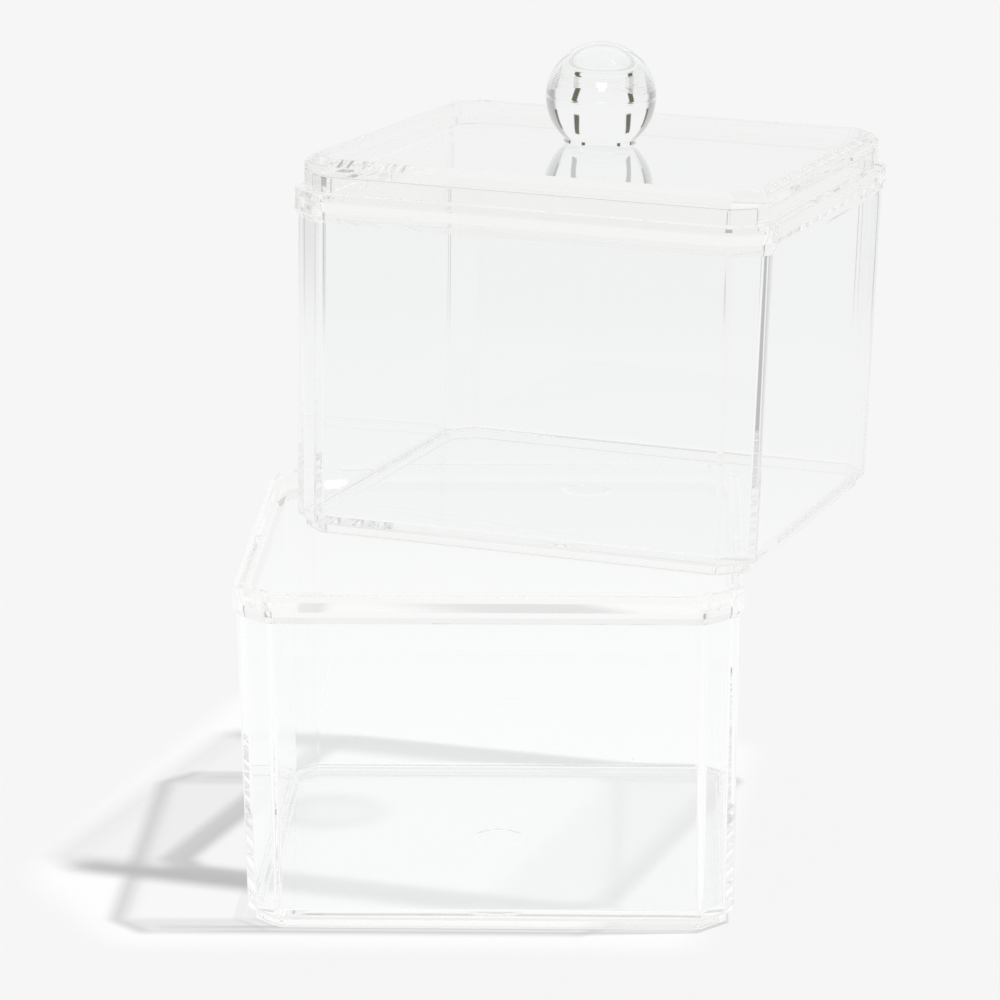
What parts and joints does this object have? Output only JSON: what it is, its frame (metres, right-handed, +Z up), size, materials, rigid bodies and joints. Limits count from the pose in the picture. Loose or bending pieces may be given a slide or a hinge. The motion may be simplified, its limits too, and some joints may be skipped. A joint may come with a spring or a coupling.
{
  "type": "storage box with lid",
  "caption": "Clear box with cut corners, a collared rim and a bevelled lid with a ball knob, set down askew on the rim of a matching open box.",
  "frame": {"origin": "under the middle of the whole stack's outline, on the surface it stands on", "axes": "+Z up, -Y the front shown, +X to the right along the lower box's front side"},
  "size_m": [0.1256, 0.1264, 0.1593],
  "materials": {
    "lower_box": "clear moulded acrylic, polished",
    "upper_box": "clear moulded acrylic, polished",
    "lid": "clear moulded acrylic, polished",
    "knob": "clear moulded acrylic, polished"
  },
  "bodies": {
    "base": {"lower_box": "lower_box"},
    "upper": {"upper_box": "upper_box"},
    "cover": {"lid": "lid", "knob": "knob"}
  },
  "joints": [
    {"name": "upper_box_lift", "type": "slide", "parent": "base", "child": "upper", "axis": [0, 0, 1], "range_m": [0, 0.08]},
    {"name": "lid_lift", "type": "slide", "parent": "upper", "child": "cover", "axis": [0.0323, 0.0278, 0.9991], "range_m": [0, 0.06]}
  ]
}
